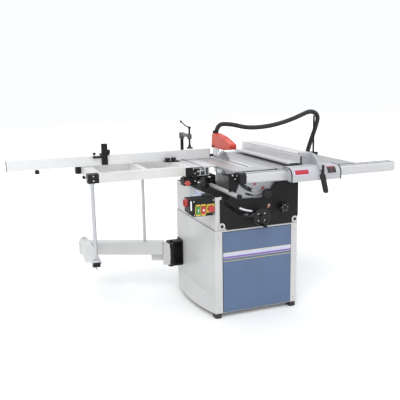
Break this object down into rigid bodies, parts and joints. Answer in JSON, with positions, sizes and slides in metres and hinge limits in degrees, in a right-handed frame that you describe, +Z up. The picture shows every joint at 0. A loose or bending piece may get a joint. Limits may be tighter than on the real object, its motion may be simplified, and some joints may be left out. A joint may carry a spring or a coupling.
{
  "type": "panel saw",
  "caption": "Panel saw with a sliding table and outrigger, crosscut and rip fences, a tilting blade under a red guard with a suction hose, on a grey and blue cabinet",
  "frame": {"origin": "centre of the bounding box on the floor", "axes": "+X to the right along the front, +Y from the operator to the back, +Z up"},
  "size_m": [2.174, 1.117, 1.1415],
  "materials": {
    "painted_grey": "satin light grey powder coat",
    "painted_blue": "satin blue powder coat",
    "painted_black": "satin black paint",
    "cast_iron": "ground grey cast iron",
    "cast_grey": "light grey hammered casting paint",
    "aluminium": "anodised extrusion",
    "steel": "brushed steel",
    "chrome": "polished chrome plate",
    "black_plastic": "matt black plastic",
    "red_plastic": "red plastic",
    "green_plastic": "green plastic",
    "guard_red": "orange red guard plastic",
    "rubber": "black rubber",
    "hose_plastic": "black corrugated hose",
    "motor_paint": "dark blue grey machine enamel"
  },
  "bodies": {
    "root": {"cabinet_shell": "painted_grey", "cabinet_door": "painted_blue", "rubber_feet": "rubber", "dust_port": "black_plastic", "upper_housing": "painted_grey", "front_plate": "painted_black", "trunnion_brackets": "cast_grey", "main_table": "cast_iron", "table_insert": "aluminium", "extension_table": "painted_grey", "rip_rail": "aluminium", "end_caps": "black_plastic", "guide_tube": "chrome", "table_brackets": "painted_black", "switch_box": "black_plastic", "mains_inlet": "red_plastic", "suction_hose": "hose_plastic", "hose_post": "painted_black", "arm_hinge_bracket": "painted_black"},
    "start": {"start_button": "green_plastic"},
    "stop": {"stop_button": "red_plastic"},
    "emergency": {"emergency_button": "red_plastic"},
    "trunnion": {"tilt_frame": "cast_grey"},
    "rise_lock": {"rise_lock_knob": "black_plastic"},
    "tilt_lock": {"tilt_lock_knob": "black_plastic"},
    "handwheel": {"handwheel": "black_plastic", "handwheel_shaft": "steel"},
    "crank": {"crank_knob": "black_plastic"},
    "screw": {"height_screw": "steel"},
    "riser": {"arbor_housing": "cast_grey", "motor": "motor_paint", "drive_belt": "rubber", "blade_shroud": "painted_grey", "riving_knife": "steel", "blade_guard": "guard_red", "guard_fittings": "black_plastic"},
    "blade": {"saw_blade": "steel", "saw_arbor": "steel"},
    "rotor": {"motor_pulley": "steel"},
    "slider": {"slider_table": "aluminium", "slider_carriage": "painted_black", "outrigger_frame": "painted_grey", "outrigger_caps": "black_plastic"},
    "slider_lock": {"slider_lock_knob": "red_plastic"},
    "crosscut": {"crosscut_fence": "aluminium", "fence_fittings": "black_plastic"},
    "stop_block": {"stop_carrier": "black_plastic"},
    "flip": {"flip_stop": "painted_black"},
    "clamp_column": {"clamp_post": "steel"},
    "clamp_bar": {"clamp_arm": "painted_black"},
    "clamp_foot": {"clamp_pad": "rubber"},
    "clamp_screw": {"clamp_spindle": "steel"},
    "rip": {"rip_carriage": "cast_grey", "fence_casting": "cast_grey", "fence_beam": "aluminium"},
    "rip_face": {"rip_fence": "aluminium"},
    "lever": {"lock_lever": "black_plastic"},
    "arm_one": {"swing_arm": "painted_grey"},
    "arm_two": {"front_arm": "painted_grey", "support_post": "steel"}
  },
  "joints": [
    {"name": "blade_tilt", "type": "hinge", "parent": "root", "child": "trunnion", "pos_m": [0.221, -0.3985, 0.85], "axis": [0, 1, 0], "range_deg": [0, 45], "deforming": ["suction_hose"]},
    {"name": "blade_height", "type": "slide", "parent": "trunnion", "child": "riser", "axis": [0, 0, 1], "range_m": [-0.06, 0.02], "deforming": ["suction_hose"]},
    {"name": "blade_spin", "type": "hinge", "parent": "riser", "child": "blade", "pos_m": [0.221, 0.0715, 0.782], "axis": [1, 0, 0], "continuous": true},
    {"name": "rotor_spin", "type": "hinge", "parent": "riser", "child": "rotor", "pos_m": [0.221, -0.0435, 0.712], "axis": [1, 0, 0], "continuous": true},
    {"name": "handwheel_turn", "type": "hinge", "parent": "trunnion", "child": "handwheel", "pos_m": [0.221, -0.3985, 0.588], "axis": [0, 1, 0], "range_deg": [-4321, 1441]},
    {"name": "screw_turn", "type": "hinge", "parent": "trunnion", "child": "screw", "pos_m": [0.221, -0.2735, 0.6], "axis": [0, 0, 1], "range_deg": [-4321, 1441]},
    {"name": "crank_turn", "type": "hinge", "parent": "handwheel", "child": "crank", "pos_m": [0.221, -0.4885, 0.546], "axis": [0, 1, 0], "continuous": true},
    {"name": "rise_lock_turn", "type": "hinge", "parent": "trunnion", "child": "rise_lock", "pos_m": [0.274, -0.4185, 0.711], "axis": [0, 1, 0], "range_deg": [-180, 180]},
    {"name": "tilt_lock_turn", "type": "hinge", "parent": "root", "child": "tilt_lock", "pos_m": [0.374, -0.4285, 0.625], "axis": [0, 1, 0], "range_deg": [-180, 180]},
    {"name": "start_press", "type": "slide", "parent": "root", "child": "start", "axis": [0, 1, 0], "range_m": [0, 0.004], "stiffness_N_per_m": 600, "springref_m": -0.001},
    {"name": "stop_press", "type": "slide", "parent": "root", "child": "stop", "axis": [0, 1, 0], "range_m": [0, 0.004], "stiffness_N_per_m": 600, "springref_m": -0.001},
    {"name": "emergency_press", "type": "slide", "parent": "root", "child": "emergency", "axis": [0, 1, 0], "range_m": [0, 0.006], "stiffness_N_per_m": 600, "springref_m": -0.001},
    {"name": "slider_slide", "type": "slide", "parent": "root", "child": "slider", "axis": [0, 1, 0], "range_m": [-0.225, 0.2]},
    {"name": "slider_lock_turn", "type": "hinge", "parent": "slider", "child": "slider_lock", "pos_m": [-0.115, -0.1755, 0.762], "axis": [0, 1, 0], "range_deg": [-120, 120]},
    {"name": "mitre_swing", "type": "hinge", "parent": "slider", "child": "crosscut", "pos_m": [-0.097, 0.1215, 0.85], "axis": [0, 0, 1], "range_deg": [-45, 0]},
    {"name": "stop_slide", "type": "slide", "parent": "crosscut", "child": "stop_block", "axis": [1, 0, 0], "range_m": [-0.5, 0.33]},
    {"name": "flip_turn", "type": "hinge", "parent": "stop_block", "child": "flip", "pos_m": [-0.518, 0.1415, 0.936], "axis": [1, 0, 0], "range_deg": [-95, 0]},
    {"name": "clamp_slide", "type": "slide", "parent": "slider", "child": "clamp_column", "axis": [0, 1, 0], "range_m": [0, 0.25]},
    {"name": "clamp_lower", "type": "slide", "parent": "clamp_column", "child": "clamp_bar", "axis": [0, 0, -1], "range_m": [-0.06, 0.02]},
    {"name": "pad_lower", "type": "slide", "parent": "clamp_bar", "child": "clamp_foot", "axis": [0, 0, -1], "range_m": [-0.02, 0.034]},
    {"name": "spindle_turn", "type": "hinge", "parent": "clamp_foot", "child": "clamp_screw", "pos_m": [-0.013, 0.0535, 0.96], "axis": [0, 0, -1], "range_deg": [-1801, 3062]},
    {"name": "rip_slide", "type": "slide", "parent": "root", "child": "rip", "axis": [1, 0, 0], "range_m": [-0.155, 0.21]},
    {"name": "rip_face_slide", "type": "slide", "parent": "rip", "child": "rip_face", "axis": [0, 1, 0], "range_m": [-0.05, 0.1]},
    {"name": "lever_turn", "type": "hinge", "parent": "rip", "child": "lever", "pos_m": [0.551, -0.5485, 0.862], "axis": [1, 0, 0], "range_deg": [-60, 0]},
    {"name": "arm_swing", "type": "hinge", "parent": "root", "child": "arm_one", "pos_m": [-0.118, 0.1515, 0.25], "axis": [0, 0, 1], "range_deg": [-23, 26]},
    {"name": "elbow_turn", "type": "hinge", "parent": "arm_one", "child": "arm_two", "pos_m": [-0.633, 0.3915, 0.34], "axis": [0, 0, 1], "range_deg": [-9, 9]}
  ],
  "couplings": [
    {"joint": "rotor_spin", "follows": "blade_spin", "ratio": 0.652},
    {"joint": "handwheel_turn", "follows": "blade_height", "rad_per_m": 1256.6},
    {"joint": "screw_turn", "follows": "blade_height", "rad_per_m": 1256.6},
    {"joint": "spindle_turn", "follows": "pad_lower", "rad_per_m": 1570.8},
    {"joint": "arm_swing", "follows": "slider_slide", "rad_per_m": -1.925},
    {"joint": "elbow_turn", "follows": "slider_slide", "rad_per_m": 0.625}
  ]
}
